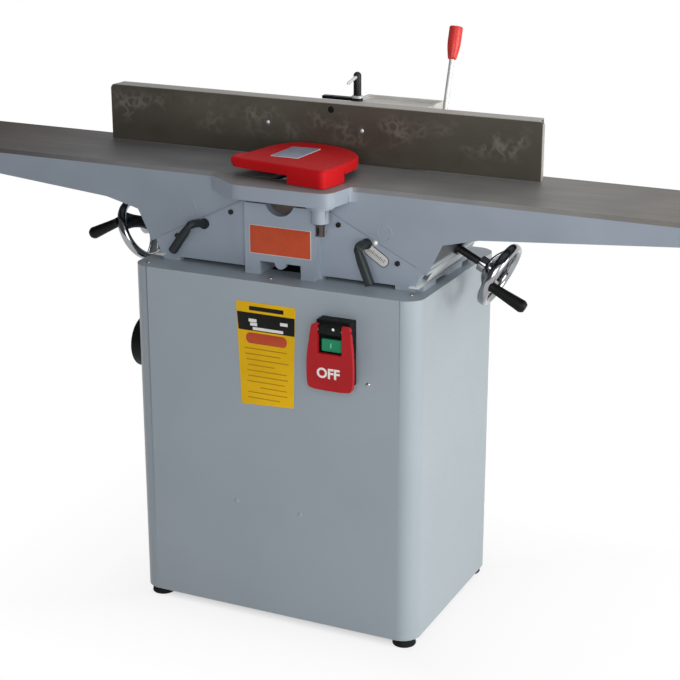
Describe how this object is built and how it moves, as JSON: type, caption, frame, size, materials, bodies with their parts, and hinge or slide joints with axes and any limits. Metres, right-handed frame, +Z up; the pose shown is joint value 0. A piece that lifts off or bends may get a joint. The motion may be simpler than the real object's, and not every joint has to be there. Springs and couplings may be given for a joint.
{
  "type": "jointer",
  "caption": "Floor standing jointer: long infeed and outfeed tables on sloping ways, tilting fence, swing guard, cutterhead with belt drive, on a sheet metal cabinet stand.",
  "frame": {"origin": "floor, under the middle of the overall box, which is the middle of the cabinet and the cutter axis", "axes": "+X along the tables to the infeed end, +Y to the back, +Z up"},
  "size_m": [1.83, 0.47, 1.0776],
  "materials": {
    "paint": "satin blue-grey paint",
    "table_iron": "ground cast iron, painted sides",
    "fence_iron": "ground cast iron",
    "rubber": "matt black",
    "black_plastic": "black",
    "red_plastic": "red",
    "green_plastic": "green",
    "guard_red": "red paint",
    "chrome": "polished",
    "black_steel": "black oxide",
    "steel": "machined",
    "pulley_iron": "as cast",
    "motor_paint": "dark grey paint",
    "brass": "machined"
  },
  "bodies": {
    "stand": {"cabinet": "paint", "rear_door": "paint", "door_screws": "steel", "rubber_feet": "rubber", "foot_bolts": "steel", "dust_chute": "motor_paint", "dust_port": "black_plastic", "switch_box": "black_plastic", "paddle_pin": "steel", "cable_gland": "black_plastic", "bed_casting": "paint", "bed_bolts": "steel", "bearing_block_front": "black_steel", "bearing_block_rear": "black_steel", "cutter_bearings": "steel", "drive_belt": "rubber", "motor_housing": "motor_paint", "motor_shelf": "motor_paint", "motor_bolts": "steel", "terminal_box": "black_plastic", "belt_cover": "paint", "infeed_gib": "steel", "outfeed_gib": "steel", "infeed_gib_screws": "black_steel", "outfeed_gib_screws": "black_steel", "infeed_nut": "brass", "outfeed_nut": "brass", "fence_support": "paint", "support_bolts": "steel"},
    "paddle": {"switch_paddle": "red_plastic"},
    "button": {"start_button": "green_plastic"},
    "cutter": {"cutterhead": "steel", "knives": "steel", "knife_wedges": "steel", "wedge_screws": "black_steel", "cutterhead_pulley": "pulley_iron"},
    "rotor": {"motor_shaft": "steel", "motor_pulley": "pulley_iron"},
    "infeed": {"infeed_table": "table_iron"},
    "outfeed": {"outfeed_table": "table_iron"},
    "infeed_wheel": {"infeed_lead_screw": "black_steel", "infeed_handwheel": "chrome"},
    "outfeed_wheel": {"outfeed_lead_screw": "black_steel", "outfeed_handwheel": "chrome"},
    "infeed_grip": {"infeed_wheel_grip": "black_plastic"},
    "outfeed_grip": {"outfeed_wheel_grip": "black_plastic"},
    "infeed_lock": {"infeed_lock_lever": "black_plastic"},
    "outfeed_lock": {"outfeed_lock_lever": "black_plastic"},
    "guard": {"cutter_guard": "guard_red", "guard_spindle": "steel"},
    "carriage": {"fence_carriage": "paint", "hinge_pin": "steel", "clamp_arm": "black_plastic"},
    "fence": {"fence": "fence_iron", "fence_bracket": "fence_iron", "fence_screws": "steel"},
    "clamp": {"clamp_post": "black_steel"},
    "lever": {"carriage_lever": "chrome", "lever_grip": "red_plastic"}
  },
  "joints": [
    {"name": "stop_press", "type": "hinge", "parent": "stand", "child": "paddle", "pos_m": [0.138, -0.231, 0.6088], "axis": [1, 0, 0], "range_deg": [0, 3], "stiffness_Nm_per_rad": 1.5, "springref_deg": -5.73},
    {"name": "start_press", "type": "slide", "parent": "stand", "child": "button", "axis": [0, 1, 0], "range_m": [0, 0.003], "stiffness_N_per_m": 600, "springref_m": -0.002},
    {"name": "cutter_spin", "type": "hinge", "parent": "stand", "child": "cutter", "pos_m": [0, 0, 0.801], "axis": [0, 1, 0], "continuous": true},
    {"name": "motor_spin", "type": "hinge", "parent": "stand", "child": "rotor", "pos_m": [0, 0, 0.344], "axis": [0, 1, 0], "continuous": true},
    {"name": "infeed_slide", "type": "slide", "parent": "stand", "child": "infeed", "axis": [0.8957, 0, -0.4446], "range_m": [0, 0.0285]},
    {"name": "outfeed_slide", "type": "slide", "parent": "stand", "child": "outfeed", "axis": [-0.8957, 0, -0.4446], "range_m": [-0.001, 0.006]},
    {"name": "infeed_wheel_turn", "type": "hinge", "parent": "infeed", "child": "infeed_wheel", "pos_m": [0.3678, -0.02075, 0.68263], "axis": [0.8957, 0, -0.4446], "range_deg": [-1, 2567]},
    {"name": "outfeed_wheel_turn", "type": "hinge", "parent": "outfeed", "child": "outfeed_wheel", "pos_m": [-0.3678, -0.02075, 0.68263], "axis": [-0.8957, 0, -0.4446], "range_deg": [-91, 541]},
    {"name": "infeed_grip_spin", "type": "hinge", "parent": "infeed_wheel", "child": "infeed_grip", "pos_m": [0.4064, -0.07562, 0.65918], "axis": [0.8957, 0, -0.4446], "continuous": true},
    {"name": "outfeed_grip_spin", "type": "hinge", "parent": "outfeed_wheel", "child": "outfeed_grip", "pos_m": [-0.42107, -0.06739, 0.68873], "axis": [-0.8957, 0, -0.4446], "continuous": true},
    {"name": "infeed_lock_turn", "type": "hinge", "parent": "stand", "child": "infeed_lock", "pos_m": [0.16186, -0.15, 0.7421], "axis": [0, 1, 0], "range_deg": [-25, 25]},
    {"name": "outfeed_lock_turn", "type": "hinge", "parent": "stand", "child": "outfeed_lock", "pos_m": [-0.16186, -0.15, 0.7421], "axis": [0, 1, 0], "range_deg": [-25, 25]},
    {"name": "guard_swing", "type": "hinge", "parent": "infeed", "child": "guard", "pos_m": [0.086, -0.163, 0.84], "axis": [0, 0, 1], "range_deg": [0, 70], "stiffness_Nm_per_rad": 2, "springref_deg": -17.19},
    {"name": "fence_slide", "type": "slide", "parent": "stand", "child": "carriage", "axis": [0, 1, 0], "range_m": [0, 0.04]},
    {"name": "fence_tilt", "type": "hinge", "parent": "carriage", "child": "fence", "pos_m": [0.094, 0.0595, 0.855], "axis": [-1, 0, 0], "range_deg": [0, 45]},
    {"name": "clamp_turn", "type": "hinge", "parent": "carriage", "child": "clamp", "pos_m": [0.00768, 0.16016, 0.932], "axis": [0, 0, 1], "range_deg": [-60, 60]},
    {"name": "carriage_lever_turn", "type": "hinge", "parent": "carriage", "child": "lever", "pos_m": [0.175, 0.16353, 0.90164], "axis": [1, 0, 0], "range_deg": [-20, 15]}
  ],
  "couplings": [
    {"joint": "motor_spin", "follows": "cutter_spin", "ratio": 0.59958},
    {"joint": "infeed_wheel_turn", "follows": "infeed_slide", "rad_per_m": 1570.8},
    {"joint": "outfeed_wheel_turn", "follows": "outfeed_slide", "rad_per_m": 1570.8}
  ]
}
